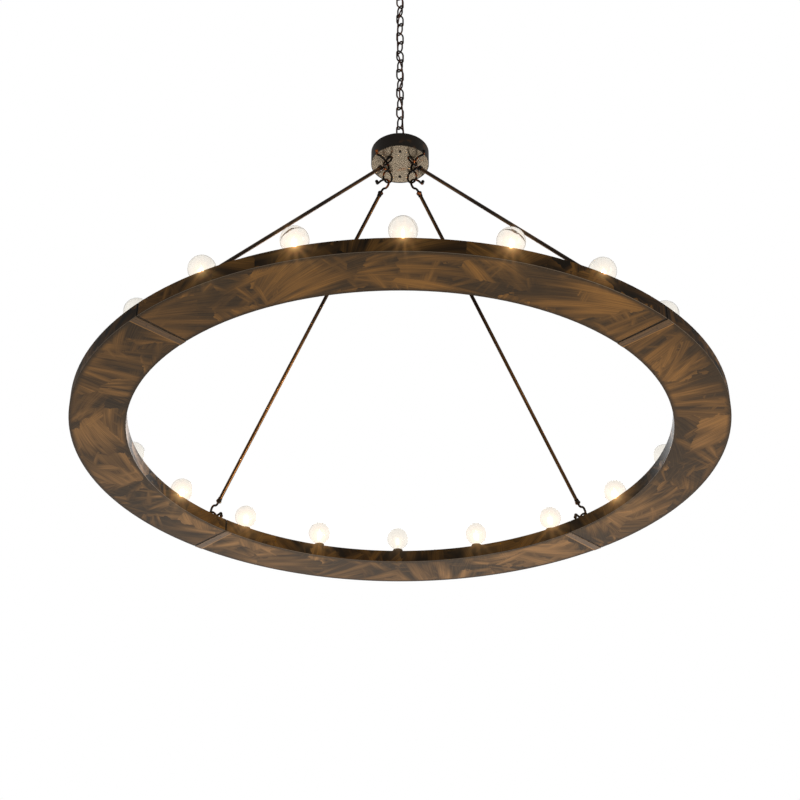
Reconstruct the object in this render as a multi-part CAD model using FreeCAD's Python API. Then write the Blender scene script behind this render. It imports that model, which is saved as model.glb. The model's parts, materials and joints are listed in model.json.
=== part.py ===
import FreeCAD, Part
import math
import os
from FreeCAD import Vector

# A chandelier hung on a chain: canopy, chain, round hub, four sloping rods and a flat ring of globe lamps.
# Millimetres and degrees. The origin is the middle of the ceiling face, +Z is up, -Y is the front.

# Ceiling fitting
canopy_r = 76.0
canopy_h = 32.0
canopy_wall = 1.2
canopy_edge_r = 20.0
strap_length = 112.0
strap_width = 20.0
strap_t = 2.0
box_screw_spacing = 88.9
box_screw_hole_r = 2.4
nipple_r = 4.9
nipple_bore_r = 3.3
nut_across_flats = 17.0
nut_h = 5.0

# Loops that the chain hangs from, and the chain
loop_wire_r = 3.5
loop_inner_r = 17.0
collar_r = 11.5
canopy_collar_h = 10.0
hub_collar_h = 25.0
nipple_engagement = 8.0
link_count = 16
link_pitch = 46.0
link_wire_r = 3.0
link_inner_w = 22.0
chain_turn = 35.0
running_gap = 0.3

# Supply cord and its bushings
cord_r = 2.75
cord_side = 6.6
cord_entry = 17.0
bushing_flange_r = 7.0
bushing_flange_h = 2.0
bushing_wall = 2.0

# Hub
hub_r = 101.5
hub_h = 60.0
hub_wall = 1.5
hub_edge_r = 7.0
plate_t = 3.0
plate_gap = 0.4
plate_recess = 1.0
plate_screw_y = 68.0
plate_screw_r = 2.4
plate_screw_head_r = 4.6
plate_screw_head_h = 2.6
bracket_t = 3.0
bracket_w = 24.0
bracket_half = 42.0
bracket_foot = 82.0
connector_r = 7.0
connector_h = 24.0

# Eyes under the hub and on the ring
eye_r = 20.0
eye_wire_r = 3.5
eye_nut_flats = 13.0
eye_nut_h = 6.0
eye_thread = 12.0
hub_eye_rho = 54.0
hub_eye_lean = 20.0
ring_eye_shoulder = 14.0
ring_eye_lean = 9.0
ring_eye_foot_r = 8.0
ring_eye_foot_h = 4.0

# Hanging rods with their collars and hooks
rod_r = 6.35
rod_wall = 1.5
hook_wire_r = 4.0
hook_ball_r = 6.0
hook_reach = 45.0
hook_tang = 12.0
hook_straight = 26.0
hook_neck = (-20.0, -21.0)
hook_heel = 5.0
hook_crown = 2.3
hook_tail = ((0.0, 34.0), (-18.0, 47.0), (-8.0, 57.0))
ferrule_r = 9.8
ferrule_skirt = 12.0
ferrule_nose = 8.0
ferrule_wall = 1.4

# Ring
ring_drop = 1138.6
ring_r = 1016.0
ring_w = 171.0
ring_h = 44.0
sheet_t = 1.5
lip_w = 14.0
seam_gap = 2.5
end_wall_notch = 34.0
strip_w = 27.5
strip_t = 1.2
hanger_l = 110.0
hanger_w = 46.0
hanger_t = 3.0
screw_r = 2.0
screw_head_r = 4.2
screw_head_h = 2.2
splice_bolt_r = 3.0
splice_bolt_head_r = 5.2
splice_bolt_head_h = 3.5
splice_bolt_inset = 40.0
loom_w = 8.0
loom_t = 3.5

# Lamps
lamp_count = 20
globe_r = 39.7
neck_flare = 1.35
glass_t = 0.8
globe_above_cover = 89.0
bulb_length = 114.0
cap_r = 13.2
cap_h = 25.0
cap_contact_r = 6.0
cap_contact_h = 2.5
socket_r = 18.5
socket_h = 42.0
socket_nipple_len = 14.0
shell_t = 0.6
shell_fit = 0.3
contact_t = 1.0
stem_r = 4.0
stem_h = 26.0
filament_r = 0.6
filament_w = 20.0
filament_h = 22.0

# Places worked out from the sizes
chain_top = running_gap / 2 - (canopy_h + canopy_collar_h + loop_wire_r + 2 * loop_inner_r)
chain_bottom = chain_top - link_count * link_pitch
hub_top = chain_bottom + running_gap / 2 - 2 * loop_inner_r - loop_wire_r - hub_collar_h
hub_bottom = hub_top - hub_h
plate_bottom = hub_bottom + plate_recess
plate_top = plate_bottom + plate_t
ring_bottom = hub_bottom - ring_drop
cover_top = ring_bottom + ring_h
cover_bottom = cover_top - sheet_t
ring_inner_r = ring_r - ring_w
mid_r = ring_r - ring_w / 2
hook_azimuths = (45.0, 135.0, 225.0, 315.0)
section_azimuths = {"front": 270.0, "right": 0.0, "back": 90.0, "left": 180.0}
strip_side = {45.0: 1, 135.0: -1, 225.0: -1, 315.0: 1}
seam_angle = math.degrees(seam_gap / mid_r)
Z = Vector(0, 0, 1)


def polar(rho, azimuth, z):
    a = math.radians(azimuth)
    return Vector(rho * math.cos(a), rho * math.sin(a), z)


def turned(shape, azimuth):
    """A copy of a shape that was built at azimuth 0."""
    copy = shape.copy()
    copy.rotate(Vector(0, 0, 0), Z, azimuth)
    return copy


def drum(r, z0, z1, at=Vector(0, 0, 0)):
    return Part.makeCylinder(r, z1 - z0, Vector(at.x, at.y, z0))


def tube(r, bore, z0, z1, at=Vector(0, 0, 0)):
    return drum(r, z0, z1, at).cut(drum(bore, z0, z1, at))


def lathe(outline, angle=360.0, start=0.0):
    """Turns a closed outline of (radius, height) points about the Z axis."""
    points = [Vector(r, 0, z) for r, z in outline]
    face = Part.Face(Part.makePolygon(points + points[:1]))
    return turned(face.revolve(Vector(0, 0, 0), Z, angle), start)


def hex_nut(flats, bore, z0, height, at=Vector(0, 0, 0)):
    corner = flats / 2 / math.cos(math.radians(30))
    corners = [at + polar(corner, 60 * i, z0) for i in range(7)]
    prism = Part.Face(Part.makePolygon(corners)).extrude(Vector(0, 0, height))
    return prism.cut(drum(bore, z0, z0 + height, at))


def rounded_path(points, share=0.45):
    """Straight runs joined by tangent arcs that take up a share of the shorter run beside each point."""
    edges, radii, last = [], [], points[0]
    for before, corner, after in zip(points, points[1:], points[2:]):
        back, ahead = (before - corner), (after - corner)
        reach = share * min(back.Length, ahead.Length)
        back.normalize()
        ahead.normalize()
        turn = math.pi - back.getAngle(ahead)
        radius = reach / math.tan(turn / 2)
        start, end = corner + back * reach, corner + ahead * reach
        inward = (back + ahead).normalize()
        middle = corner + inward * (radius / math.cos(turn / 2) - radius)
        edges += [Part.LineSegment(last, start).toShape(), Part.Arc(start, middle, end).toShape()]
        radii.append(radius)
        last = end
    edges.append(Part.LineSegment(last, points[-1]).toShape())
    return Part.Wire(edges), radii


def round_bar(points, r, share=0.45):
    """A round bar or cord along a rounded path, with the bend radii and the path's length."""
    path, radii = rounded_path(points, share)
    circle = Part.Wire(Part.makeCircle(r, points[0], points[1] - points[0]))
    return path.makePipeShell([circle], True, False), radii, path.Length


def node(name, shapes):
    """Writes one sub-part, or a group of identical ones."""
    solids = [solid for shape in shapes for solid in shape.Solids]
    shape = solids[0] if len(solids) == 1 else Part.makeCompound(solids)
    if not shape.isValid():
        print("invalid shape:", name)
    shape.exportStep("parts/" + name + ".step")


# ---------------------------------------------------------------- ceiling fitting

def ceiling_canopy():
    """A spun cup: rim on the ceiling, rounded edge, hole for the nipple and for the cord's bushing."""
    cup = drum(canopy_r, -canopy_h, 0)
    cup = cup.makeFillet(canopy_edge_r, [e for e in cup.Edges if e.BoundBox.ZMax < -canopy_h / 2])
    cavity = drum(canopy_r - canopy_wall, canopy_wall - canopy_h, 0)
    edges = [e for e in cavity.Edges if e.BoundBox.ZMax < -canopy_h / 2]
    cavity = cavity.makeFillet(canopy_edge_r - canopy_wall, edges)
    holes = drum(nipple_r + running_gap, -canopy_h, 0).fuse(
        drum(bushing_bore_r(), -canopy_h, 0, cord_entry_point(0)))
    return cup.cut(cavity).cut(holes)


def bushing_bore_r():
    return cord_r + bushing_wall


def cord_point(a, b, z):
    """A point beside the chain: a lies along the even links' plane, b along the odd links'."""
    return polar(a, chain_turn, z) + polar(b, chain_turn + 90, 0)


def cord_entry_point(z):
    return cord_point(cord_entry, -cord_entry, z)


def mounting_strap():
    """A flat bar across the ceiling box, with a hole for the nipple and one for each box screw."""
    bar = Part.makeBox(strap_length, strap_width, strap_t, Vector(-strap_length / 2, -strap_width / 2, -strap_t))
    for x in (-box_screw_spacing / 2, box_screw_spacing / 2):
        bar = bar.cut(drum(box_screw_hole_r, -strap_t, 0, Vector(x, 0, 0)))
    return bar.cut(drum(nipple_r, -strap_t, 0))


def canopy_nipple():
    return tube(nipple_r, nipple_bore_r, -canopy_h - nipple_engagement, 0)


def strap_nut():
    return hex_nut(nut_across_flats, nipple_r, -strap_t - nut_h, nut_h)


def hanging_loop(face_z, up, collar_h, plane_azimuth):
    """A ring with a screw collar on a face; up is +1 where the ring stands above the face."""
    centre = face_z + up * (collar_h + loop_wire_r + loop_inner_r)
    ring = Part.makeTorus(loop_inner_r + loop_wire_r, loop_wire_r, Vector(0, 0, centre),
                          polar(1, plane_azimuth + 90, 0))
    waist = collar_r - loop_wire_r
    outline = [(0, 0), (collar_r, 0), (collar_r, collar_h / 2), (waist, collar_h + loop_wire_r),
               (0, collar_h + loop_wire_r)]
    collar = lathe([(r, face_z + up * z) for r, z in outline])
    socket = drum(nipple_r, *sorted((face_z, face_z + up * nipple_engagement)))
    return ring.fuse(collar).cut(socket).removeSplitter()


# ---------------------------------------------------------------- chain and cord

def chain_link(index):
    """An oval link of round wire; odd and even links stand at right angles."""
    bend_r = link_inner_w / 2 + link_wire_r
    half_straight = (link_pitch + running_gap) / 2 - link_inner_w / 2
    ends = []
    for side in (1, -1):
        torus = Part.makeTorus(bend_r, link_wire_r, Vector(0, 0, 0), Vector(0, 1, 0))
        half = Part.makeBox(4 * bend_r, 4 * bend_r, 2 * bend_r,
                            Vector(-2 * bend_r, -2 * bend_r, 0 if side > 0 else -2 * bend_r))
        end = torus.common(half)
        end.translate(Vector(0, 0, side * half_straight))
        ends.append(end)
    sides = [drum(link_wire_r, -half_straight, half_straight, Vector(x, 0, 0)) for x in (-bend_r, bend_r)]
    link = ends[0].fuse(ends[1:] + sides)
    link = turned(link, chain_turn + (0 if index % 2 == 0 else 90))
    link.translate(Vector(0, 0, chain_top - (index - 0.5) * link_pitch))
    return link


def cord_route():
    """Points chosen by hand: the cord changes sides through the openings of some links."""
    half_cross = 0.35
    stations = [(1, -1, 0.9), (1, -1, 2.5 - half_cross), (-1, -1, 2.5 + half_cross),
                (-1, -1, 3.5 - half_cross), (-1, 1, 3.5 + half_cross), (-1, 1, 7.5 - half_cross),
                (-1, -1, 7.5 + half_cross), (-1, -1, 8.5 - half_cross), (1, -1, 8.5 + half_cross),
                (1, -1, 10.5 - half_cross), (-1, -1, 10.5 + half_cross), (-1, -1, 12.5 - half_cross),
                (1, -1, 12.5 + half_cross), (1, -1, 15.2)]
    woven = [cord_point(a * cord_side, b * cord_side, chain_top - links * link_pitch)
             for a, b, links in stations]
    top, bottom = cord_entry_point(-canopy_h), cord_entry_point(hub_top)
    lead = Vector(0, 0, bushing_flange_h + cord_r)
    return [top + Vector(0, 0, canopy_wall), top - lead] + woven + [bottom + lead, bottom - Vector(0, 0, hub_wall)]


def supply_cord():
    cord, radii, length = round_bar(cord_route(), cord_r)
    print("supply cord: length %.1f, bend radii %s" % (length, [round(r, 1) for r in radii]))
    print("volume %.0f, section by length %.0f" % (cord.Volume, math.pi * cord_r ** 2 * length))
    return cord


def cord_bushing(face_z, inward):
    """An insulating sleeve with a flange outside the sheet; inward is the way into the housing."""
    at = cord_entry_point(0)
    flange = drum(bushing_flange_r, *sorted((face_z, face_z - inward * bushing_flange_h)), at)
    sleeve = drum(bushing_bore_r(), *sorted((face_z, face_z + inward * 2 * bushing_flange_h)), at)
    reach = 4 * bushing_flange_h
    return flange.fuse(sleeve).cut(drum(cord_r, face_z - reach, face_z + reach, at)).removeSplitter()


# ---------------------------------------------------------------- hub

def hub_housing():
    """A shallow drum, open below, with a rounded upper edge."""
    shell = drum(hub_r, hub_bottom, hub_top)
    shell = shell.makeFillet(hub_edge_r, [e for e in shell.Edges if e.BoundBox.ZMin > hub_top - hub_wall])
    cavity = drum(hub_r - hub_wall, hub_bottom, hub_top - hub_wall)
    edges = [e for e in cavity.Edges if e.BoundBox.ZMin > hub_top - 2 * hub_wall]
    cavity = cavity.makeFillet(hub_edge_r - hub_wall, edges)
    holes = drum(nipple_r + running_gap, hub_bottom, hub_top).fuse(
        drum(bushing_bore_r(), hub_bottom, hub_top, cord_entry_point(0)))
    return shell.cut(cavity).cut(holes)


def hub_plate():
    """The bottom plate, inside the drum's rim, drilled for the eyes and the two screws."""
    plate = drum(hub_r - hub_wall - plate_gap, plate_bottom, plate_top)
    for azimuth in hook_azimuths:
        plate = plate.cut(drum(eye_wire_r, plate_bottom, plate_top, polar(hub_eye_rho, azimuth, 0)))
    for y in (-plate_screw_y, plate_screw_y):
        plate = plate.cut(drum(plate_screw_r, plate_bottom, plate_top, Vector(0, y, 0)))
    return plate


def hub_bracket():
    """A strap bent like a hat: it hangs from the nipple and its feet carry the plate."""
    top, foot, half, t = hub_top - hub_wall, plate_top, bracket_half, bracket_t
    outline = [(-bracket_foot, foot), (-half + t, foot), (-half + t, top - t), (half - t, top - t),
               (half - t, foot), (bracket_foot, foot), (bracket_foot, foot + t), (half, foot + t),
               (half, top), (-half, top), (-half, foot + t), (-bracket_foot, foot + t)]
    points = [Vector(-bracket_w / 2, y, z) for y, z in outline]
    strap = Part.Face(Part.makePolygon(points + points[:1])).extrude(Vector(bracket_w, 0, 0))
    strap = strap.cut(drum(nipple_r, plate_top, hub_top))
    strap = strap.cut(drum(bushing_bore_r() + running_gap, hub_top - bracket_t - hub_wall, hub_top,
                           cord_entry_point(0)))
    for y in (-plate_screw_y, plate_screw_y):
        strap = strap.cut(drum(plate_screw_r, plate_top, plate_top + bracket_t, Vector(0, y, 0)))
    return strap


def hub_plate_screws():
    return [drum(plate_screw_head_r, plate_bottom - plate_screw_head_h, plate_bottom, Vector(0, y, 0)).fuse(
        drum(plate_screw_r, plate_bottom, plate_top + 2 * bracket_t, Vector(0, y, 0))).removeSplitter()
        for y in (-plate_screw_y, plate_screw_y)]


def hub_nipple():
    return tube(nipple_r, nipple_bore_r, hub_top - hub_wall - bracket_t - 1.5 * nut_h, hub_top + nipple_engagement)


def hub_nut():
    return hex_nut(nut_across_flats, nipple_r, hub_top - hub_wall - bracket_t - nut_h, nut_h)


def wire_connectors():
    """Three twist-on connectors that rest on the plate."""
    profile = [(0, 0), (connector_r, 0), (connector_r, connector_h / 2), (connector_r / 2, connector_h),
               (0, connector_h)]
    cap = lathe([(r, plate_top + z) for r, z in profile])
    caps = []
    for y in (-connector_h, 0, connector_h):
        copy = cap.copy()
        copy.translate(Vector(-bracket_half, y, 0))
        caps.append(copy)
    return caps


# ---------------------------------------------------------------- eyes

def plane_point(rho, z):
    """A point of the vertical radial plane at azimuth 0."""
    return Vector(rho, 0, z)


def hub_eye_lean_dir():
    return plane_point(math.sin(math.radians(hub_eye_lean)), -math.cos(math.radians(hub_eye_lean)))


def ring_eye_lean_dir():
    return plane_point(-math.sin(math.radians(ring_eye_lean)), math.cos(math.radians(ring_eye_lean)))


def hub_eye_root():
    """The middle of the eye's wire where it meets the shank, at azimuth 0."""
    return plane_point(hub_eye_rho, plate_bottom - eye_wire_r)


def ring_eye_root():
    return plane_point(mid_r, cover_top + hanger_t + ring_eye_shoulder)


def eye_ring(root, lean):
    normal = lean.cross(Vector(0, 1, 0))
    return Part.makeTorus(eye_r, eye_wire_r, root + lean * eye_r, normal)


def hub_eye(azimuth):
    shank = drum(eye_wire_r, plate_bottom - eye_wire_r, plate_top + eye_thread, plane_point(hub_eye_rho, 0))
    return turned(eye_ring(hub_eye_root(), hub_eye_lean_dir()).fuse(shank).removeSplitter(), azimuth)


def ring_eye(azimuth):
    """The eye stands on a flanged foot; its shank goes down through the hanger plate and both covers."""
    at, seat = plane_point(mid_r, 0), cover_top + hanger_t
    shank = drum(eye_wire_r, cover_bottom - eye_thread, seat + ring_eye_shoulder, at)
    foot = drum(ring_eye_foot_r, seat, seat + ring_eye_foot_h, at)
    eye = eye_ring(ring_eye_root(), ring_eye_lean_dir())
    return turned(eye.fuse([shank, foot]).removeSplitter(), azimuth)


def hub_eye_nut(azimuth):
    return turned(hex_nut(eye_nut_flats, eye_wire_r, plate_top, eye_nut_h, plane_point(hub_eye_rho, 0)), azimuth)


def ring_eye_nut(azimuth):
    nut = hex_nut(eye_nut_flats, eye_wire_r, cover_bottom - eye_nut_h, eye_nut_h, plane_point(mid_r, 0))
    return turned(nut, azimuth)


# ---------------------------------------------------------------- hanging rods

def rod_ends():
    """The bearing points of the rod's two hooks, where the far sides of the eyes' wires are."""
    upper = hub_eye_root() + hub_eye_lean_dir() * 2 * eye_r
    lower = ring_eye_root() + ring_eye_lean_dir() * 2 * eye_r
    return upper, lower


def rod_axes(upper_end):
    """The eye's point, the way from the rod to the eye, and the side that the hook's tail is on."""
    upper, lower = rod_ends()
    along = (upper - lower).normalize() if upper_end else (lower - upper).normalize()
    return (upper if upper_end else lower), along, along.cross(Vector(0, -1, 0))


def hook(upper_end):
    """A forged hook: tang, neck, bow round the eye's wire, and a tail that curls to a ball."""
    bite = eye_wire_r + hook_wire_r + running_gap
    eye, along, across = rod_axes(upper_end)
    shank = [(-hook_reach - hook_tang, 0), (-hook_straight, 0)]
    bow = [hook_neck, (hook_heel, -2.2 * bite), (bite + hook_crown, bite)]
    points = [eye + along * u + across * w for u, w in shank + bow + list(hook_tail)]
    bar = round_bar(points, hook_wire_r)[0]
    return bar.fuse(Part.makeSphere(hook_ball_r, points[-1])).removeSplitter()


def rod_direction_frame(shape, upper_end):
    """Moves a turned piece, built along +Z with the rod's end at 0, onto the end of the rod."""
    eye, along, _ = rod_axes(upper_end)
    shape.Placement = FreeCAD.Placement(eye - along * hook_reach, FreeCAD.Rotation(Z, along))
    return shape


def ferrule(upper_end):
    """A flared collar: a skirt over the rod's end and a nose with a hole for the hook."""
    skirt_r = rod_r + ferrule_wall
    outline = [(rod_r, -ferrule_skirt), (skirt_r, -ferrule_skirt), (skirt_r, -ferrule_skirt / 2),
               (ferrule_r, 0), (ferrule_r, ferrule_nose / 2), (hook_wire_r + ferrule_wall, ferrule_nose),
               (hook_wire_r, ferrule_nose), (hook_wire_r, 0), (rod_r, 0)]
    return rod_direction_frame(lathe(outline), upper_end)


def rod(azimuth):
    upper, lower = rod_ends()
    along = (lower - upper).normalize()
    start, length = upper + along * hook_reach, (lower - upper).Length - 2 * hook_reach
    bar = Part.makeCylinder(rod_r, length, start, along)
    return turned(bar.cut(Part.makeCylinder(rod_r - rod_wall, length, start, along)), azimuth)


# ---------------------------------------------------------------- ring

def seam_notch(azimuth, width):
    """The clear way round the eye's shank and nut at a seam."""
    block = Part.makeBox(width, width, ring_h, plane_point(mid_r - width / 2, ring_bottom + sheet_t)
                         + Vector(0, -width / 2, 0))
    return turned(block, azimuth)


def ring_section(middle):
    """A quarter of the ring: floor, two walls with lips, and an end wall at each seam."""
    ri, ro, z0, z1, t = ring_inner_r, ring_r, ring_bottom, cover_bottom, sheet_t
    profile = [(ri, z0), (ro, z0), (ro, z1), (ro - lip_w, z1), (ro - lip_w, z1 - t), (ro - t, z1 - t),
               (ro - t, z0 + t), (ri + t, z0 + t), (ri + t, z1 - t), (ri + lip_w, z1 - t), (ri + lip_w, z1),
               (ri, z1)]
    sweep, first = 90 - seam_angle, middle - 45 + seam_angle / 2
    body = lathe(profile, sweep, first)
    wall_angle = math.degrees(sheet_t / mid_r)
    inside = [(ri + t / 2, z0 + t / 2), (ro - t / 2, z0 + t / 2), (ro - t / 2, z1 - t / 2), (ri + t / 2, z1 - t / 2)]
    for start in (first, first + sweep - wall_angle):
        body = body.fuse(lathe(inside, wall_angle, start))
    for seam in (middle - 45, middle + 45):
        body = body.cut(seam_notch(seam, end_wall_notch))
        for side in (-1, 1):
            body = body.cut(splice_bolt_shape(seam, side, splice_bolt_r, splice_bolt_r))
            body = body.cut(strip_rivet(seam, side))
    for azimuth, rho in cover_screw_places(middle):
        body = body.cut(drum(screw_r, z1 - t, z1, polar(rho, azimuth, 0)))
    return body.cut(wiring_loom(running_gap))


def ring_cover(middle):
    """A flat quarter plate on the lips, holed for the lamps, the screws and the eyes' shanks."""
    sweep = 90 - seam_angle
    plate = lathe([(ring_inner_r, cover_bottom), (ring_r, cover_bottom), (ring_r, cover_top),
                   (ring_inner_r, cover_top)], sweep, middle - sweep / 2)
    for azimuth in lamp_azimuths():
        plate = plate.cut(drum(nipple_r, cover_bottom, cover_top, polar(mid_r, azimuth, 0)))
    for azimuth, rho in cover_screw_places(middle):
        plate = plate.cut(drum(screw_r, cover_bottom, cover_top, polar(rho, azimuth, 0)))
    for seam in (middle - 45, middle + 45):
        plate = plate.cut(drum(eye_wire_r, cover_bottom, cover_top, polar(mid_r, seam, 0)))
        for place in hanger_screw_places(seam):
            plate = plate.cut(drum(screw_r, cover_bottom, cover_top, place))
    return plate


def cover_screw_places(middle):
    """Two screws through each cover, one in each lip, half way between two lamps."""
    half_step = 180 / lamp_count
    return [(middle - half_step, ring_inner_r + lip_w / 2), (middle + half_step, ring_r - lip_w / 2)]


def pan_screw(seat, length, at):
    return drum(screw_head_r, seat, seat + screw_head_h, at).fuse(
        drum(screw_r, seat - length, seat, at)).removeSplitter()


def cover_screws():
    return [pan_screw(cover_top, 4 * sheet_t, polar(rho, azimuth, 0))
            for middle in section_azimuths.values() for azimuth, rho in cover_screw_places(middle)]


def hanger_screw_places(seam):
    """Four screws at the corners of the hanger plate, two in each cover."""
    x, y = hanger_l / 2 - 2 * screw_head_r, hanger_w / 2 - 2 * screw_head_r
    return [turned(Part.Vertex(plane_point(mid_r + sx * x, 0) + Vector(0, sy * y, 0)), seam).Point
            for sx in (-1, 1) for sy in (-1, 1)]


def hanger_plate(seam):
    """A plate that bridges the seam on top of the covers and takes the pull of the eye."""
    plate = Part.makeBox(hanger_l, hanger_w, hanger_t,
                         plane_point(mid_r - hanger_l / 2, cover_top) + Vector(0, -hanger_w / 2, 0))
    plate = turned(plate.cut(drum(eye_wire_r, cover_top, cover_top + hanger_t, plane_point(mid_r, 0))), seam)
    for place in hanger_screw_places(seam):
        plate = plate.cut(drum(screw_r, cover_top, cover_top + hanger_t, place))
    return plate


def hanger_screws():
    return [pan_screw(cover_top + hanger_t, hanger_t + 3 * sheet_t, place)
            for seam in hook_azimuths for place in hanger_screw_places(seam)]


def splice_bolt_shape(seam, side, shank_r, head_r):
    """A bolt through the two end walls of a seam, head on one side and nut on the other.

    The end walls are radial, so they stand further apart further out."""
    outermost = mid_r + side * splice_bolt_inset + splice_bolt_head_r
    half = (seam_gap / 2 + sheet_t) * outermost / mid_r
    at = plane_point(mid_r + side * splice_bolt_inset, ring_bottom + ring_h / 2)
    along = Vector(0, 1, 0)
    shank = Part.makeCylinder(shank_r, 2 * half, at - along * half, along)
    head = Part.makeCylinder(head_r, splice_bolt_head_h, at - along * (half + splice_bolt_head_h), along)
    nut = Part.makeCylinder(head_r, splice_bolt_head_h, at + along * half, along)
    return turned(shank.fuse([head, nut]).removeSplitter(), seam)


def splice_bolts():
    return [splice_bolt_shape(seam, side, splice_bolt_r, splice_bolt_head_r)
            for seam in hook_azimuths for side in (-1, 1)]


def strip_rivet(seam, side):
    """The hole of a rivet that holds a seam strip to the ring's floor."""
    azimuth = seam + strip_side[seam % 360] * math.degrees((seam_gap + strip_w) / 2 / mid_r)
    place = polar(mid_r + side * splice_bolt_inset, azimuth, 0)
    return drum(screw_r, ring_bottom - strip_t, ring_bottom + sheet_t, place)


def seam_strip(seam):
    """A thin strip across the underside, beside the seam."""
    angle = math.degrees(strip_w / mid_r)
    start = seam + seam_angle / 2 if strip_side[seam] > 0 else seam - seam_angle / 2 - angle
    strip = lathe([(ring_inner_r, ring_bottom - strip_t), (ring_r, ring_bottom - strip_t),
                   (ring_r, ring_bottom), (ring_inner_r, ring_bottom)], angle, start)
    return strip.cut([strip_rivet(seam, side) for side in (-1, 1)])


def strip_rivets():
    heads = []
    for seam in hook_azimuths:
        for side in (-1, 1):
            shank = strip_rivet(seam, side)
            centre = shank.CenterOfMass
            inner = drum(1.5 * screw_r, ring_bottom + sheet_t, ring_bottom + 2 * sheet_t, centre)
            heads.append(shank.fuse(inner).removeSplitter())
    return heads


def wiring_loom(clearance=0.0):
    """The flat loom of the lamps' leads, lying on the floor of the ring beside the inner wall."""
    r0, z0 = ring_inner_r + 2 * lip_w, ring_bottom + sheet_t
    return lathe([(r0 - clearance, z0), (r0 + loom_w + clearance, z0),
                  (r0 + loom_w + clearance, z0 + loom_t + clearance), (r0 - clearance, z0 + loom_t + clearance)])


# ---------------------------------------------------------------- lamps

def lamp_azimuths():
    return [90 + i * 360 / lamp_count for i in range(lamp_count)]


def at_lamps(shape):
    """A copy of a piece, built about the Z axis with the cover's top at height 0, at each lamp."""
    shape = shape.copy()
    shape.translate(plane_point(mid_r, cover_top))
    return [turned(shape, azimuth) for azimuth in lamp_azimuths()]


def bulb_foot():
    """The height of the bulb's contact above the cover."""
    return globe_above_cover + globe_r - bulb_length


def socket_bore():
    return cap_r + shell_fit + shell_t


def lamp_socket():
    """The lampholder: an insulating cup, with a bore for the screw shell and a seat for the contact."""
    cup = drum(socket_r, 0, socket_h)
    cup = cup.cut(drum(socket_bore(), bulb_foot() + cap_contact_h, socket_h))
    cup = cup.cut(drum(cap_contact_r + shell_fit, bulb_foot() - contact_t, socket_h))
    return cup.cut(drum(nipple_r, 0, socket_nipple_len / 2))


def screw_shell():
    """The metal liner that the bulb's cap screws into."""
    return tube(socket_bore(), cap_r + shell_fit, bulb_foot() + cap_contact_h, bulb_foot() + cap_h)


def socket_contact():
    return drum(cap_contact_r + shell_fit, bulb_foot() - contact_t, bulb_foot())


def socket_nipple():
    reach = socket_nipple_len / 2
    return tube(nipple_r, nipple_bore_r, -reach - sheet_t, reach)


def socket_nut():
    return hex_nut(nut_across_flats, nipple_r, -sheet_t - nut_h, nut_h)


def bulb_cap():
    foot = bulb_foot()
    return drum(cap_contact_r, foot, foot + cap_contact_h).fuse(
        drum(cap_r, foot + cap_contact_h, foot + cap_h)).removeSplitter()


def globe_form(shrink):
    """A sphere drawn into a neck, made smaller all round by the given amount."""
    r, neck_r, neck_z = globe_r - shrink, cap_r - shrink, bulb_foot() + cap_h
    shoulder_r = neck_flare * neck_r
    shoulder_z = globe_above_cover - math.sqrt(r ** 2 - shoulder_r ** 2)
    neck = lathe([(0, neck_z), (neck_r, neck_z), (shoulder_r, shoulder_z), (0, shoulder_z)])
    return neck.fuse(Part.makeSphere(r, Vector(0, 0, globe_above_cover))).removeSplitter()


def bulb_globe():
    """The glass, open where its neck meets the cap."""
    return globe_form(0).cut(globe_form(glass_t))


def bulb_stem():
    """The glass mount inside the neck: a foot on the cap and a rod that carries the filament."""
    z, foot_r = bulb_foot() + cap_h, cap_r - 2 * glass_t - shell_fit
    return lathe([(0, z), (foot_r, z), (stem_r, z + stem_h / 3), (stem_r / 2, z + stem_h), (0, z + stem_h)])


def bulb_filament():
    """The glowing wire, a hoop whose two ends stand upright on the stem."""
    z = bulb_foot() + cap_h + stem_h
    left_half = [(-stem_r / 4, 0), (-stem_r / 4, filament_h / 6), (-filament_w / 2, filament_h / 2),
                 (-filament_w / 4, filament_h)]
    right_half = [(-x, up) for x, up in reversed(left_half)]
    return round_bar([Vector(x, 0, z + up) for x, up in left_half + right_half], filament_r)[0]


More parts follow.
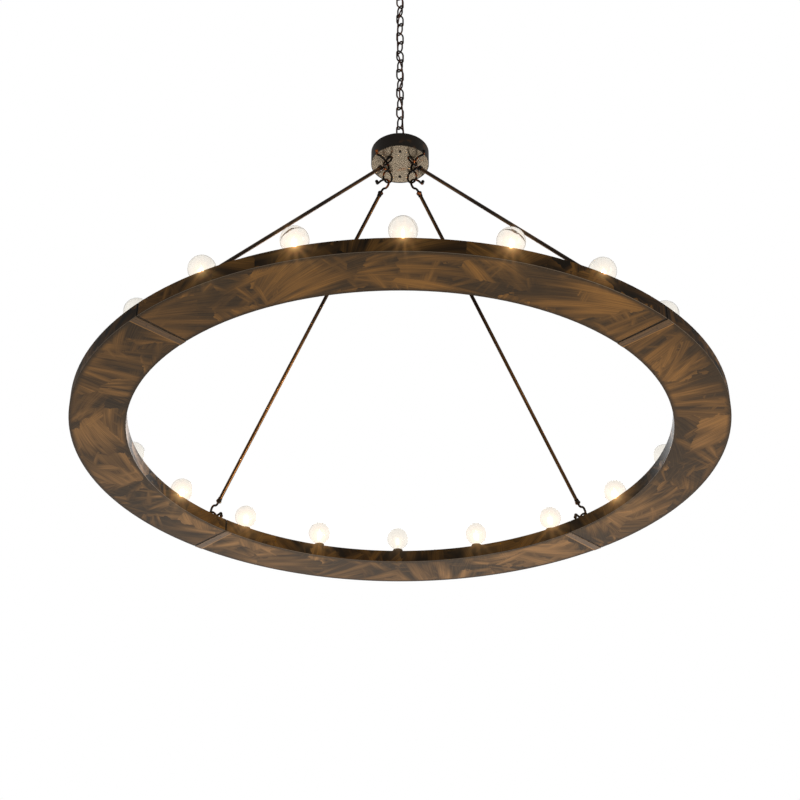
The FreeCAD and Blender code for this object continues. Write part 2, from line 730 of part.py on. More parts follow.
def build():
    os.makedirs("parts", exist_ok=True)

    node("ceiling_canopy", [ceiling_canopy()])
    node("mounting_strap", [mounting_strap()])
    node("canopy_nipple", [canopy_nipple()])
    node("strap_nut", [strap_nut()])
    node("canopy_loop", [hanging_loop(-canopy_h, -1, canopy_collar_h, chain_turn)])
    node("canopy_cord_bushing", [cord_bushing(-canopy_h, 1)])

    node("top_chain_link", [chain_link(1)])
    node("upper_chain_links", [chain_link(index) for index in range(2, link_count // 2 + 1)])
    node("lower_chain_links", [chain_link(index) for index in range(link_count // 2 + 1, link_count)])
    node("bottom_chain_link", [chain_link(link_count)])
    node("supply_cord", [supply_cord()])

    node("hub_loop", [hanging_loop(hub_top, 1, hub_collar_h, chain_turn + 90)])
    node("hub_housing", [hub_housing()])
    node("hub_plate", [hub_plate()])
    node("hub_bracket", [hub_bracket()])
    node("hub_plate_screws", hub_plate_screws())
    node("hub_nipple", [hub_nipple()])
    node("hub_nipple_nut", [hub_nut()])
    node("hub_cord_bushing", [cord_bushing(hub_top, -1)])
    node("wire_connectors", wire_connectors())
    node("hub_eyes", [hub_eye(azimuth) for azimuth in hook_azimuths])
    node("hub_eye_nuts", [hub_eye_nut(azimuth) for azimuth in hook_azimuths])

    corners = {"back_right": 45.0, "back_left": 135.0, "front_left": 225.0, "front_right": 315.0}
    for name, azimuth in corners.items():
        node("rod_" + name, [rod(azimuth)])
    for end, upper_end in (("upper", True), ("lower", False)):
        node("rod_%s_hooks" % end, [turned(hook(upper_end), azimuth) for azimuth in hook_azimuths])
        node("rod_%s_collars" % end, [turned(ferrule(upper_end), azimuth) for azimuth in hook_azimuths])

    for name, middle in section_azimuths.items():
        node("ring_section_" + name, [ring_section(middle)])
        node("ring_cover_" + name, [ring_cover(middle)])
    node("ring_eyes", [ring_eye(azimuth) for azimuth in hook_azimuths])
    node("ring_eye_nuts", [ring_eye_nut(azimuth) for azimuth in hook_azimuths])
    node("hanger_plates", [hanger_plate(azimuth) for azimuth in hook_azimuths])
    node("hanger_screws", hanger_screws())
    node("cover_screws", cover_screws())
    node("splice_bolts", splice_bolts())
    node("seam_strips", [seam_strip(azimuth) for azimuth in hook_azimuths])
    node("strip_rivets", strip_rivets())
    node("wiring_loom", [wiring_loom()])

    node("lamp_sockets", at_lamps(lamp_socket()))
    node("socket_nipples", at_lamps(socket_nipple()))
    node("socket_nuts", at_lamps(socket_nut()))
    node("screw_shells", at_lamps(screw_shell()))
    node("socket_contacts", at_lamps(socket_contact()))
    node("bulb_caps", at_lamps(bulb_cap()))
    node("bulb_globes", at_lamps(bulb_globe()))
    node("bulb_stems", at_lamps(bulb_stem()))
    node("bulb_filaments", at_lamps(bulb_filament()))


build()
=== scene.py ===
import json
import math

import bpy
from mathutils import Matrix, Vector


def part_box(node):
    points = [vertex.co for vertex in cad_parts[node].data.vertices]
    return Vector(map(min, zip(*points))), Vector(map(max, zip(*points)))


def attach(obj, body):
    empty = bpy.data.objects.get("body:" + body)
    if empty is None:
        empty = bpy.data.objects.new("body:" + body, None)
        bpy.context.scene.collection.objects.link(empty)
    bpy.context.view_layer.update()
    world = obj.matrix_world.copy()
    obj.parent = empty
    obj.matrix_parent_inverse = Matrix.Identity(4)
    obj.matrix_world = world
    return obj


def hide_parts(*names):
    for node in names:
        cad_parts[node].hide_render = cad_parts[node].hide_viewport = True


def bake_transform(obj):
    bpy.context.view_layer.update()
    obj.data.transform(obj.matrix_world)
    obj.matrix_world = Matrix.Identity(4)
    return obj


# The looks of a ring chandelier: finishes, the woven cord, lit lamps, soft studio light and the camera.
# Metres, in the frame of the construction: ceiling at z = 0, -Y towards the camera.

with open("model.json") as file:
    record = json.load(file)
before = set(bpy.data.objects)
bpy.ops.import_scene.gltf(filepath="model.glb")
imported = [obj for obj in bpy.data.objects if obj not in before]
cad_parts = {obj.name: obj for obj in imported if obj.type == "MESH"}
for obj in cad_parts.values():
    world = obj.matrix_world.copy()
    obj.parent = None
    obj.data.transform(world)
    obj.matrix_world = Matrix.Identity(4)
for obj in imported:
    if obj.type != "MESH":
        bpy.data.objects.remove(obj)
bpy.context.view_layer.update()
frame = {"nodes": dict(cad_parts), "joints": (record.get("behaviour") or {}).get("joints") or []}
nodes = frame["nodes"]

# ---- sizes read from the frame
RING_WIDTH = 0.171
ring_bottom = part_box("ring_section_front")[0][2]
ring_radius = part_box("ring_section_right")[1][0]
ring_inner = ring_radius - RING_WIDTH
ring_mid_radius = (ring_radius + ring_inner) / 2
hub_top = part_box("hub_housing")[1][2]
joint_height = {joint["name"]: joint["pos_m"][2] for joint in frame["joints"]}

# ---- seam strips: how far from the middle of the seam they reach
STRIP_REACH = 0.02875

# ---- camera: distances in ring radii, from the ring's outline in the photograph
CAMERA_BACK = 3.98829
CAMERA_BELOW = 2.23165
CAMERA_TILT = math.radians(31.054)
CAMERA_ROUND = math.radians(0.5)
CAMERA_LENS = 66.96
CAMERA_SENSOR = 36.0

# ---- studio
FLOOR_DROP = 0.9
FLOOR_RADIUS = 9.0
WORLD_SOFT = 0.34
WORLD_MIRRORED = 0.30
FILAMENT_GLOW = 1400.0

# ---- glare: kind, gain in stops, settings
BLOOM_LAYERS = (
    ("BLOOM", 2.0, {"Threshold": 1.1, "Size": 0.15, "Tint": (1.0, 0.86, 0.66, 1)}),
    ("STREAKS", 0.8, {"Threshold": 1.6, "Streaks": 11, "Fade": 0.78, "Tint": (1.0, 0.70, 0.36, 1)}),
)

# ---- dry brush: patch in metres, shift of the pattern, how much it covers
BRUSH_ROUNDS = (
    (0.26, (0.0, 0.0, 0.0), 0.16),
    (0.19, (1.37, 0.31, 0.0), 0.10),
    (0.14, (2.91, 0.67, 0.0), 0.04),
)

# ---- colours, linear
UMBER = (0.040, 0.025, 0.013, 1)
UMBER_LIGHT = (0.072, 0.044, 0.021, 1)
GOLD_BROWN = (0.36, 0.172, 0.040, 1)
STRIP_GOLD = (0.20, 0.105, 0.038, 1)
# painted highlight: the pale line along the walls' lower edge, where a rounded edge would catch the light
PALE_EDGE_HIGHLIGHT = (0.34, 0.27, 0.21, 1)
DARK_ROD = (0.020, 0.012, 0.008, 1)
# partly copper finish, partly painted highlight: the lines along the rods also stand in for their bright
# reflection lines
ROD_COPPER_AND_HIGHLIGHT = (0.42, 0.19, 0.055, 1)
COPPER = (0.55, 0.16, 0.045, 1)
BLACK_BRONZE = (0.012, 0.009, 0.007, 1)
SAND = (0.52, 0.42, 0.30, 1)
MAROON = (0.075, 0.014, 0.012, 1)
BROWN = (0.10, 0.045, 0.025, 1)
BRASS = (0.70, 0.45, 0.16, 1)
ZINC = (0.42, 0.42, 0.41, 1)
PALE = (0.82, 0.81, 0.79, 1)


# ---------------------------------------------------------------- node helpers

def add(tree, kind, inputs=None, **settings):
    """Adds a shader node; an input is a value or another node's socket."""
    node = tree.nodes.new("ShaderNode" + kind)
    for key, value in settings.items():
        setattr(node, key, value)
    for key, value in (inputs or {}).items():
        if isinstance(value, bpy.types.NodeSocket):
            tree.links.new(value, node.inputs[key])
        else:
            node.inputs[key].default_value = value
    return node


def new_material(name, roughness, metallic):
    material = bpy.data.materials.new(name)
    material.use_nodes = True
    shader = material.node_tree.nodes["Principled BSDF"]
    shader.inputs["Roughness"].default_value = roughness
    shader.inputs["Metallic"].default_value = metallic
    return material, material.node_tree, shader


def place(tree):
    return add(tree, "TexCoord").outputs["Object"]


def turned_noise(tree, where, size, turn=(0, 0, 0), shift=(0, 0, 0), detail=2.0):
    """Noise whose grain is drawn out: size is the grain's length, width and depth in metres."""
    inputs = {"Vector": where, "Location": shift, "Rotation": turn, "Scale": size}
    local = add(tree, "Mapping", inputs, vector_type="TEXTURE")
    inputs = {"Vector": local.outputs[0], "Scale": 1.0, "Detail": detail, "Roughness": 0.55}
    return add(tree, "TexNoise", inputs).outputs[0]


def step(tree, value, low, high, to_low=0.0, to_high=1.0):
    inputs = {"Value": value, "From Min": low, "From Max": high, "To Min": to_low, "To Max": to_high}
    return add(tree, "MapRange", inputs, interpolation_type="SMOOTHSTEP").outputs[0]


def maths(tree, operation, first, second=0.0):
    return add(tree, "Math", {0: first, 1: second}, operation=operation).outputs[0]


def vector(tree, x, y, z=0.0):
    return add(tree, "CombineXYZ", {0: x, 1: y, 2: z}).outputs[0]


def vector_maths(tree, operation, first, second=(0, 0, 0), output=0):
    return add(tree, "VectorMath", {0: first, 1: second}, operation=operation).outputs[output]


def mix(tree, factor, first, second):
    node = add(tree, "Mix", {0: factor, 6: first, 7: second}, data_type="RGBA")
    return node.outputs[2]


def bump(tree, shader, height, strength, distance):
    node = add(tree, "Bump", {"Height": height, "Strength": strength, "Distance": distance})
    tree.links.new(node.outputs[0], shader.inputs["Normal"])


# ---------------------------------------------------------------- materials

def unrolled(tree, where):
    """The ring laid flat: metres round it and metres across it, over floor and walls without a break.

    The round coordinate jumps only at the front left seam, where the real sheet ends too."""
    turned = add(tree, "VectorRotate", {0: where, 3: math.radians(-45)}, rotation_type="Z_AXIS").outputs[0]
    xyz = add(tree, "SeparateXYZ", {0: turned}).outputs
    around = maths(tree, "MULTIPLY", maths(tree, "ARCTAN2", xyz[1], xyz[0]), ring_mid_radius)
    radius = vector_maths(tree, "LENGTH", vector(tree, xyz[0], xyz[1]), output="Value")
    return around, radius, xyz[2]


def seam_distance(tree, around):
    """Metres round the ring to the nearest of the four seams."""
    quarter = ring_mid_radius * math.pi / 2
    return maths(tree, "PINGPONG", around, quarter / 2)


def strip_bronze():
    """The strips beside the seams: brushed across the ring, with a painted highlight along the outer edge.
    """
    material, tree, shader = new_material("strip_bronze", 0.38, 0.6)
    around, radius, _ = unrolled(tree, place(tree))
    grain = vector(tree, maths(tree, "MULTIPLY", around, 420.0), maths(tree, "MULTIPLY", radius, 9.0))
    hairs = add(tree, "TexNoise", {"Vector": grain, "Scale": 1.0, "Detail": 2.0}).outputs[0]
    brushed = mix(tree, step(tree, hairs, 0.3, 0.7), UMBER_LIGHT, STRIP_GOLD)
    # painted highlight: a gold-brown line along the outer edge of each strip
    painted_strip_highlight = step(tree, seam_distance(tree, around), STRIP_REACH - 0.0035, STRIP_REACH - 0.0025)
    tree.links.new(mix(tree, painted_strip_highlight, brushed, GOLD_BROWN), shader.inputs["Base Color"])
    bump(tree, shader, hairs, 0.2, 0.0002)
    return material


def fan_strokes(tree, flat, patch, shift, cover):
    """One round of a dry brush: patches, each with hairs that spread from a point of its own."""
    moved = vector_maths(tree, "ADD", flat, shift)
    ragged = add(tree, "TexNoise", {"Vector": moved, "Scale": 5.0 / patch, "Detail": 3.0}).outputs[1]
    wobble = vector_maths(tree, "MULTIPLY", vector_maths(tree, "SUBTRACT", ragged, (0.5, 0.5, 0.5)),
                          (patch * 0.35, patch * 0.35, 0))
    inputs = {"Vector": vector_maths(tree, "ADD", moved, wobble), "Scale": 1.0 / patch}
    cells = add(tree, "TexVoronoi", inputs, voronoi_dimensions="2D")
    chance = add(tree, "SeparateXYZ", {0: cells.outputs["Color"]}).outputs
    local = vector_maths(tree, "SUBTRACT", moved, cells.outputs["Position"])
    angle = maths(tree, "MULTIPLY", chance[0], 2 * math.pi)
    local = add(tree, "VectorRotate", {0: local, 3: angle}, rotation_type="Z_AXIS").outputs[0]
    xyz = add(tree, "SeparateXYZ", {0: local}).outputs
    pivot = 1.4 * patch
    bearing = maths(tree, "ARCTAN2", xyz[1], maths(tree, "ADD", xyz[0], pivot))
    spread = maths(tree, "MULTIPLY", bearing, pivot)
    along = maths(tree, "ADD", xyz[0], maths(tree, "MULTIPLY", chance[2], 9.0))
    broad = add(tree, "TexNoise", {"Vector": vector(tree, maths(tree, "MULTIPLY", along, 0.9 / patch),
                                                    maths(tree, "MULTIPLY", spread, 5.0 / patch)),
                                   "Scale": 1.0, "Detail": 2.0}).outputs[0]
    hairs = add(tree, "TexNoise", {"Vector": vector(tree, maths(tree, "MULTIPLY", along, 1.6 / patch),
                                                    maths(tree, "MULTIPLY", spread, 300.0)),
                                   "Scale": 1.0, "Detail": 2.0}).outputs[0]
    fade = step(tree, xyz[0], -0.5 * patch, 0.6 * patch, 0.10, -0.14)
    laid = maths(tree, "ADD", maths(tree, "ADD", broad, fade), maths(tree, "MULTIPLY", chance[1], 0.22))
    laid = step(tree, laid, 0.62 - cover, 1.12 - cover)
    return maths(tree, "MULTIPLY", laid, step(tree, hairs, 0.25, 0.70, 0.45, 1.0)), hairs


def brushed_bronze():
    """Dark umber rubbed with gold by a dry brush, in fans that cross; bare metal along the folds, where the
    brush is kept off; near-black ground on the walls as painted shade, and a pale painted highlight just
    above their lower edge.
    """
    material, tree, shader = new_material("brushed_bronze", 0.42, 0.60)
    shader.inputs["Specular IOR Level"].default_value = 0.15
    around, radius, height = unrolled(tree, place(tree))
    flat = vector(tree, around, maths(tree, "ADD", radius, height))
    total, hairs = fan_strokes(tree, flat, *BRUSH_ROUNDS[0])
    for brush_round in BRUSH_ROUNDS[1:]:
        stroke, _ = fan_strokes(tree, flat, *brush_round)
        total = maths(tree, "MAXIMUM", total, stroke)
    ground = mix(tree, step(tree, hairs, 0.3, 0.7), UMBER, UMBER_LIGHT)
    above_fold = maths(tree, "SUBTRACT", height, ring_bottom)
    wall = step(tree, above_fold, 0.0015, 0.004)
    # painted shade: on the walls the ground is turned near-black, for the shade the upright walls stand in
    ground = mix(tree, wall, ground, BLACK_BRONZE)
    inner = step(tree, radius, ring_inner + 0.001, ring_inner + 0.018)
    outer = step(tree, radius, ring_radius - 0.018, ring_radius - 0.001, 1.0, 0.0)
    middle = maths(tree, "MULTIPLY", inner, outer)
    open_to_brush = maths(tree, "MAXIMUM", middle, maths(tree, "MULTIPLY", wall, 0.8))
    shown = maths(tree, "MULTIPLY", total, open_to_brush)
    seam = seam_distance(tree, around)
    strokes = mix(tree, step(tree, seam, 0.002, 0.007), BLACK_BRONZE, mix(tree, shown, ground, GOLD_BROWN))
    # painted highlight: a pale line just above the lower edge of the walls, in place of the light a rounded
    # edge would catch
    painted_edge_highlight = maths(tree, "MULTIPLY", step(tree, above_fold, 0.0002, 0.0006),
                 step(tree, above_fold, 0.0012, 0.0024, 1.0, 0.0))
    tree.links.new(mix(tree, painted_edge_highlight, strokes, PALE_EDGE_HIGHLIGHT), shader.inputs["Base Color"])
    tree.links.new(step(tree, shown, 0.0, 1.0, 0.48, 0.36), shader.inputs["Roughness"])
    bump(tree, shader, hairs, 0.2, 0.0002)
    return material


def drawn_bronze():
    """The rods: near-black, with fine copper lines that run along each of the four; the lines are partly
    the rods' copper finish and partly painted highlight, for the bright reflection lines along the rods.
    """
    material, tree, shader = new_material("drawn_bronze", 0.25, 0.9)
    where = place(tree)
    height = add(tree, "SeparateXYZ", {0: where}).outputs[2]
    sides = add(tree, "SeparateXYZ", {0: vector_maths(tree, "ABSOLUTE", where)}).outputs
    across = maths(tree, "SUBTRACT", sides[0], sides[1])
    out = maths(tree, "MULTIPLY", maths(tree, "ADD", sides[0], sides[1]), math.sqrt(0.5))
    slope = rod_slope()
    along = maths(tree, "ADD", maths(tree, "MULTIPLY", out, math.cos(slope)),
                  maths(tree, "MULTIPLY", height, math.sin(slope)))
    beside = maths(tree, "SUBTRACT", maths(tree, "MULTIPLY", height, math.cos(slope)),
                   maths(tree, "MULTIPLY", out, math.sin(slope)))
    grain = vector(tree, maths(tree, "MULTIPLY", across, 420.0), maths(tree, "MULTIPLY", beside, 300.0),
                   maths(tree, "MULTIPLY", along, 2.2))
    lines = add(tree, "TexNoise", {"Vector": grain, "Scale": 1.0, "Detail": 2.0}).outputs[0]
    # the copper lines: partly the rods' copper finish, partly painted highlight along the rods
    colour = mix(tree, step(tree, lines, 0.48, 0.66), DARK_ROD, ROD_COPPER_AND_HIGHLIGHT)
    tree.links.new(colour, shader.inputs["Base Color"])
    tree.links.new(step(tree, lines, 0.3, 0.7, 0.22, 0.34), shader.inputs["Roughness"])
    bump(tree, shader, lines, 0.15, 0.0002)
    return material


def rod_slope():
    """The angle between a rod and the horizon, negative because the rods go down as they go out."""
    points = [vertex.co for vertex in nodes["rod_back_right"].data.vertices]
    middle = sum(point.z for point in points) / len(points)
    upper = [point for point in points if point.z > middle]
    lower = [point for point in points if point.z <= middle]
    fall = sum(upper, Vector()) / len(upper) - sum(lower, Vector()) / len(lower)
    return math.atan2(fall.z, -math.hypot(fall.x, fall.y))


def mottled_metal(name, ground, patch_colour, size, low, high, roughness=0.4, metallic=0.7, speck=0.004):
    """A patinated metal: patches of a second colour, fine specks and a faintly uneven surface."""
    material, tree, shader = new_material(name, roughness, metallic)
    where = place(tree)
    patches = turned_noise(tree, where, (size, size, size), detail=4.0)
    specks = turned_noise(tree, where, (speck, speck, speck), detail=2.0)
    colour = mix(tree, step(tree, patches, low, high), ground, patch_colour)
    darker = mix(tree, step(tree, specks, 0.40, 0.62, 0.35, 0.0), colour, BLACK_BRONZE)
    tree.links.new(darker, shader.inputs["Base Color"])
    dull = step(tree, specks, 0.3, 0.7, roughness - 0.07, roughness + 0.1)
    tree.links.new(dull, shader.inputs["Roughness"])
    bump(tree, shader, specks, 0.3, 0.0003)
    return material


def braided_cord():
    """A fabric sleeve: two sets of fine threads that cross."""
    material, tree, shader = new_material("braided_cord", 0.75, 0.0)
    where = place(tree)
    inputs = {"Vector": where, "Scale": 260.0, "Distortion": 1.5}
    weave = add(tree, "TexWave", inputs, bands_direction="DIAGONAL")
    fuzz = turned_noise(tree, where, (0.002, 0.002, 0.002))
    threads = maths(tree, "MULTIPLY", weave.outputs[1], step(tree, fuzz, 0.3, 0.7, 0.5, 1.0))
    tree.links.new(mix(tree, threads, MAROON, BROWN), shader.inputs["Base Color"])
    bump(tree, shader, threads, 0.5, 0.0004)
    return material


def clear_glass():
    """Thin clear glass, faintly warm, with slow ripples."""
    material, tree, shader = new_material("clear_glass", 0.0, 0.0)
    shader.inputs["Transmission Weight"].default_value = 1.0
    shader.inputs["IOR"].default_value = 1.46
    shader.inputs["Base Color"].default_value = (0.97, 0.95, 0.91, 1)
    ripple = turned_noise(tree, place(tree), (0.03, 0.03, 0.03), detail=0.0)
    bump(tree, shader, ripple, 0.05, 0.0005)
    return material


def lit_filament():
    material, tree, shader = new_material("lit_filament", 0.5, 0.0)
    flicker = turned_noise(tree, place(tree), (0.01, 0.01, 0.01))
    colour = mix(tree, step(tree, flicker, 0.3, 0.7), (1.0, 0.62, 0.28, 1), (1.0, 0.74, 0.42, 1))
    tree.links.new(colour, shader.inputs["Emission Color"])
    shader.inputs["Emission Strength"].default_value = FILAMENT_GLOW
    return material


def matt_surface(name, colour, other, size, roughness):
    """Plastic, paint or plaster: two close tones and a fine grain."""
    material, tree, shader = new_material(name, roughness, 0.0)
    grain = turned_noise(tree, place(tree), (size, size, size), detail=3.0)
    tree.links.new(mix(tree, step(tree, grain, 0.35, 0.65), colour, other), shader.inputs["Base Color"])
    bump(tree, shader, grain, 0.2, size / 20)
    return material


ring_finish = brushed_bronze()
strip_finish = strip_bronze()
hub_finish = mottled_metal("hub_bronze", (0.030, 0.024, 0.020, 1), (0.20, 0.085, 0.028, 1),
                           0.06, 0.56, 0.74, 0.36)
plate_finish = mottled_metal("plate_bronze", SAND, (0.50, 0.19, 0.06, 1), 0.05, 0.58, 0.75, 0.22, 0.8)
rubbed_finish = mottled_metal("rubbed_bronze", BLACK_BRONZE, COPPER, 0.016, 0.55, 0.66, 0.28, 0.85, 0.002)
rod_finish = drawn_bronze()
chain_finish = mottled_metal("chain_bronze", (0.022, 0.014, 0.010, 1), (0.16, 0.065, 0.03, 1),
                             0.02, 0.5, 0.7, 0.4)
brass_finish = mottled_metal("brass_fittings", BRASS, (0.50, 0.30, 0.10, 1),
                             0.01, 0.45, 0.7, 0.3, 1.0, 0.001)
zinc_finish = mottled_metal("zinc_fittings", ZINC, (0.30, 0.30, 0.31, 1),
                            0.01, 0.45, 0.7, 0.4, 1.0, 0.001)
cord_finish = braided_cord()
glass_finish = clear_glass()
filament_finish = lit_filament()
black_finish = matt_surface("black_plastic", (0.010, 0.010, 0.010, 1), (0.018, 0.018, 0.018, 1),
                            0.002, 0.5)
connector_finish = matt_surface("connector_plastic", (0.60, 0.20, 0.02, 1), (0.50, 0.16, 0.02, 1),
                                0.004, 0.4)

finishes = {
    ring_finish: ["ring_section_front", "ring_section_right", "ring_section_back", "ring_section_left",
                  "ring_cover_front", "ring_cover_right", "ring_cover_back", "ring_cover_left"],
    strip_finish: ["seam_strips"],
    hub_finish: ["ceiling_canopy", "canopy_loop", "hub_housing", "hanger_plates", "strip_rivets",
                 "hub_plate_screws", "lamp_sockets"],
    plate_finish: ["hub_plate"],
    rubbed_finish: ["hub_loop", "hub_eyes", "ring_eyes", "rod_upper_hooks", "rod_lower_hooks",
                    "rod_upper_collars", "rod_lower_collars"],
    rod_finish: ["rod_back_left", "rod_back_right", "rod_front_left", "rod_front_right"],
    chain_finish: ["top_chain_link", "upper_chain_links", "lower_chain_links", "bottom_chain_link"],
    brass_finish: ["canopy_nipple", "strap_nut", "hub_nipple", "hub_nipple_nut", "socket_nipples",
                   "socket_nuts", "bulb_caps", "screw_shells", "socket_contacts"],
    zinc_finish: ["mounting_strap", "hub_bracket", "hub_eye_nuts", "ring_eye_nuts", "hanger_screws",
                  "cover_screws", "splice_bolts"],
    cord_finish: ["supply_cord", "wiring_loom"],
    glass_finish: ["bulb_globes", "bulb_stems"],
    filament_finish: ["bulb_filaments"],
    black_finish: ["canopy_cord_bushing", "hub_cord_bushing"],
    connector_finish: ["wire_connectors"],
}
for finish, names in finishes.items():
    for name in names:
        nodes[name].data.materials.clear()
        nodes[name].data.materials.append(finish)


# ---------------------------------------------------------------- the woven cord

CORD_RADIUS = 0.00275
CORD_SIDE = 0.0066
CORD_ENTRY = 0.017
CHAIN_TURN = math.radians(35)
CHAIN_TOP = -0.07935
LINK_PITCH = 0.046
HALF_CROSS = 0.35
CANOPY_WALL = 0.0012
HUB_WALL = 0.0015
CORD_LEAD = 0.0048
STRETCH_OVERLAP = 0.006
CUT_SLACK = 0.0001


def beside_chain(a, b, z):
    """a lies along the even links' plane, b along the odd links'."""
    return Vector((a * math.cos(CHAIN_TURN) - b * math.sin(CHAIN_TURN),
                   a * math.sin(CHAIN_TURN) + b * math.cos(CHAIN_TURN), z))


def cord_route():
    """The same points as the solid cord: sides of the chain, and how many links down it changes side."""
    canopy_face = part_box("ceiling_canopy")[0][2]
    stations = [(1, -1, 0.9), (1, -1, 2.5 - HALF_CROSS), (-1, -1, 2.5 + HALF_CROSS),
                (-1, -1, 3.5 - HALF_CROSS), (-1, 1, 3.5 + HALF_CROSS), (-1, 1, 7.5 - HALF_CROSS),
                (-1, -1, 7.5 + HALF_CROSS), (-1, -1, 8.5 - HALF_CROSS), (1, -1, 8.5 + HALF_CROSS),
                (1, -1, 10.5 - HALF_CROSS), (-1, -1, 10.5 + HALF_CROSS), (-1, -1, 12.5 - HALF_CROSS),
                (1, -1, 12.5 + HALF_CROSS), (1, -1, 15.2)]
    woven = [beside_chain(a * CORD_SIDE, b * CORD_SIDE, CHAIN_TOP - links * LINK_PITCH)
             for a, b, links in stations]
    ends = [canopy_face + CANOPY_WALL, canopy_face - CORD_LEAD, hub_top + CORD_LEAD, hub_top - HUB_WALL]
    entry = [beside_chain(CORD_ENTRY, -CORD_ENTRY, z) for z in ends]
    return entry[:2] + woven + entry[2:]


def smooth_line(points):
    """Points along the spline that has the route's points as its control points."""
    curve = bpy.data.curves.new("cord_line", "CURVE")
    curve.dimensions = "3D"
    spline = curve.splines.new("NURBS")
    spline.points.add(len(points) - 1)
    for target, point in zip(spline.points, points):
        target.co = (*point, 1)
    spline.order_u = 3
    spline.use_endpoint_u = True
    spline.resolution_u = 14
    carrier = bpy.data.objects.new("cord_line", curve)
    mesh = bpy.data.meshes.new_from_object(carrier)
    line = [vertex.co.copy() for vertex in mesh.vertices]
    bpy.data.objects.remove(carrier)
    bpy.data.meshes.remove(mesh)
    return line


def tube_piece(name, line, radius, sides=14):
    """A round tube along a stretch of the line, which runs down, with level-ended rings."""
    rings = []
    for index, point in enumerate(line):
        ahead = (line[min(index + 1, len(line) - 1)] - line[max(index - 1, 0)]).normalized()
        across = ahead.cross(Vector((0, 1, 0))).normalized()
        other = ahead.cross(across)
        rings.append([point + radius * (across * math.cos(t) + other * math.sin(t))
                      for t in (2 * math.pi * k / sides for k in range(sides))])
    vertices = [vertex for ring in rings for vertex in ring]
    faces = [[sides * i + k, sides * i + (k + 1) % sides,
              sides * (i + 1) + (k + 1) % sides, sides * (i + 1) + k]
             for i in range(len(line) - 1) for k in range(sides)]
    faces += [list(range(sides))[::-1], [sides * (len(line) - 1) + k for k in range(sides)]]
    mesh = bpy.data.meshes.new(name)
    mesh.from_pydata(vertices, [], faces)
    for polygon in mesh.polygons:
        polygon.use_smooth = len(polygon.vertices) == 4
    mesh.materials.append(cord_finish)
    piece = bpy.data.objects.new(name, mesh)
    bpy.context.scene.collection.objects.link(piece)
    return piece


def woven_cord():
    """One cord in stretches: a stretch inside one chain body is attached to that body; a stretch that
    reaches into the next body is left fixed where it lies.
    """
    line = smooth_line(cord_route())
    top, chain, twist = (joint_height[name] for name in ("top_link_swing", "chain_swing", "chain_twist"))
    low, hub = joint_height["bottom_link_swing"], joint_height["hub_swing"]
    reach = LINK_PITCH / 2
    cuts = [("canopy_cord", (top + chain) / 2, "ceiling_fitting", "top_link"),
            ("top_link_cord", chain - 2 * reach, "top_link", "upper_chain"),
            ("upper_chain_cord", twist + reach, "upper_chain", None),
            ("middle_chain_cord", twist - reach, "upper_chain", "lower_chain"),
            ("lower_chain_cord", low + 1.5 * reach, "lower_chain", None),
            ("bottom_link_cord", (low + hub) / 2, "lower_chain", "bottom_link"),
            ("hub_cord", line[-1].z, "bottom_link", "hub_and_ring")]
    above = line[0].z
    for name, below, body, next_body in cuts:
        stretch = [point for point in line if below - STRETCH_OVERLAP <= point.z <= above + CUT_SLACK]
        piece = tube_piece(name, stretch, CORD_RADIUS)
        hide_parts("supply_cord")
        if next_body is None:
            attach(piece, body)
        else:
            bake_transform(piece)
        above = below


woven_cord()


# ---------------------------------------------------------------- floor, light and camera

def studio_floor(height):
    """A wide pale disc, well below the camera."""
    sides = 96
    rim = [(FLOOR_RADIUS * math.cos(2 * math.pi * k / sides),
            FLOOR_RADIUS * math.sin(2 * math.pi * k / sides), height) for k in range(sides)]
    mesh = bpy.data.meshes.new("studio_floor")
    mesh.from_pydata(rim, [], [list(range(sides))])
    mesh.materials.append(matt_surface("pale_floor", PALE, (0.78, 0.77, 0.75, 1), 0.6, 0.8))
    floor = bpy.data.objects.new("studio_floor", mesh)
    bpy.context.scene.collection.objects.link(floor)


def area_light(name, place_m, target, size, energy, colour=(1, 1, 1)):
    """A soft light that is seen in the metal but not by the camera or through the glass."""
    data = bpy.data.lights.new(name, "AREA")
    data.shape, data.energy, data.color = "RECTANGLE", energy, colour
    data.size, data.size_y = size
    light = bpy.data.objects.new(name, data)
    light.location = place_m
    light.rotation_euler = (Vector(target) - Vector(place_m)).to_track_quat("-Z", "Y").to_euler()
    light.visible_camera = light.visible_transmission = False
    bpy.context.scene.collection.objects.link(light)


def studio_world():
    """White to the eye and through the glass; dimmer as a light, and dimmer still as a reflection."""
    world = bpy.data.worlds.new("studio")
    world.use_nodes = True
    tree = world.node_tree
    tree.nodes.clear()
    path = add(tree, "LightPath").outputs
    seen = maths(tree, "MAXIMUM", path["Is Camera Ray"], path["Is Transmission Ray"])
    white = add(tree, "Background", {"Color": (1, 1, 1, 1), "Strength": 1.0})
    soft = add(tree, "Background", {"Color": (1.0, 0.985, 0.96, 1), "Strength": WORLD_SOFT})
    mirrored = add(tree, "Background", {"Color": (1.0, 0.97, 0.93, 1), "Strength": WORLD_MIRRORED})
    unseen = add(tree, "MixShader", {0: path["Is Glossy Ray"], 1: soft.outputs[0], 2: mirrored.outputs[0]})
    either = add(tree, "MixShader", {0: seen, 1: unseen.outputs[0], 2: white.outputs[0]})
    output = add(tree, "OutputWorld")
    tree.links.new(either.outputs[0], output.inputs[0])
    bpy.context.scene.world = world


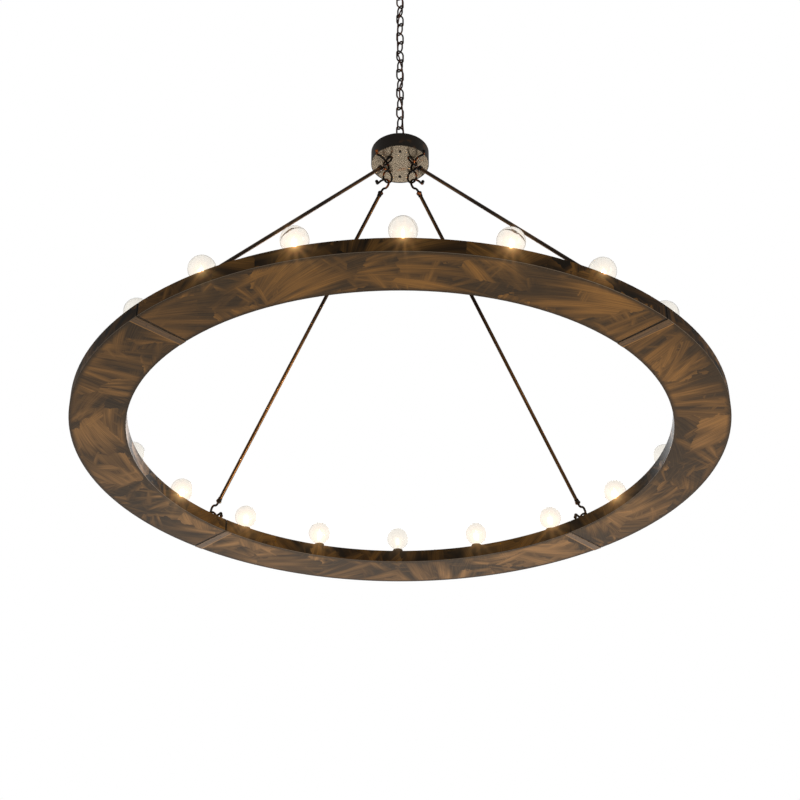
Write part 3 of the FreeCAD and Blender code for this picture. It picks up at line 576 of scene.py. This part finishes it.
def main_camera():
    data = bpy.data.cameras.new("main_camera")
    data.sensor_width, data.lens = CAMERA_SENSOR, CAMERA_LENS
    camera = bpy.data.objects.new("main_camera", data)
    back = CAMERA_BACK * ring_radius
    camera.location = (-back * math.sin(CAMERA_ROUND), -back * math.cos(CAMERA_ROUND),
                       ring_bottom - CAMERA_BELOW * ring_radius)
    camera.rotation_euler = (math.pi / 2 + CAMERA_TILT, 0, -CAMERA_ROUND)
    bpy.context.scene.collection.objects.link(camera)
    bpy.context.scene.camera = camera
    return camera


camera = main_camera()
studio_floor(camera.location.z - FLOOR_DROP)
studio_world()
bpy.context.scene.view_settings.view_transform = "Standard"  # keeps the white background white
ring_middle = (0, 0, ring_bottom)
area_light("key_softbox", (-2.8, -3.6, ring_bottom - 1.0), ring_middle, (1.2, 2.6), 10, (1.0, 0.96, 0.90))
area_light("fill_softbox", (3.2, -2.2, ring_bottom - 0.6), ring_middle, (1.0, 2.6), 24, (1.0, 0.90, 0.78))
area_light("back_softbox", (0.4, 3.4, ring_bottom + 1.6), ring_middle, (2.4, 1.2), 30)
area_light("sheen_strip", (0, 5.5, ring_bottom - 2.1), (0, 0.9, ring_bottom), (8.0, 0.9), 60)
area_light("warm_softbox", (3.0, -0.6, ring_bottom - 2.6), ring_middle, (1.6, 1.6), 85, (1.0, 0.84, 0.62))


def lens_bloom():
    """The glare of the bright filaments: a soft warm glow and short rays, added over the picture."""
    scene = bpy.context.scene
    scene.use_nodes = True
    tree = scene.node_tree
    tree.nodes.clear()
    picture = tree.nodes.new("CompositorNodeRLayers").outputs["Image"]
    last = picture
    for kind, stops, values in BLOOM_LAYERS:
        glare = tree.nodes.new("CompositorNodeGlare")
        glare.glare_type = kind
        for key, value in values.items():
            glare.inputs[key].default_value = value
        tree.links.new(picture, glare.inputs["Image"])
        gain = tree.nodes.new("CompositorNodeExposure")
        gain.inputs["Exposure"].default_value = stops
        tree.links.new(glare.outputs["Glare"], gain.inputs["Image"])
        both = tree.nodes.new("CompositorNodeMixRGB")
        both.blend_type = "ADD"
        tree.links.new(last, both.inputs[1])
        tree.links.new(gain.outputs["Image"], both.inputs[2])
        last = both.outputs["Image"]
    output = tree.nodes.new("CompositorNodeComposite")
    tree.links.new(last, output.inputs["Image"])


lens_bloom()
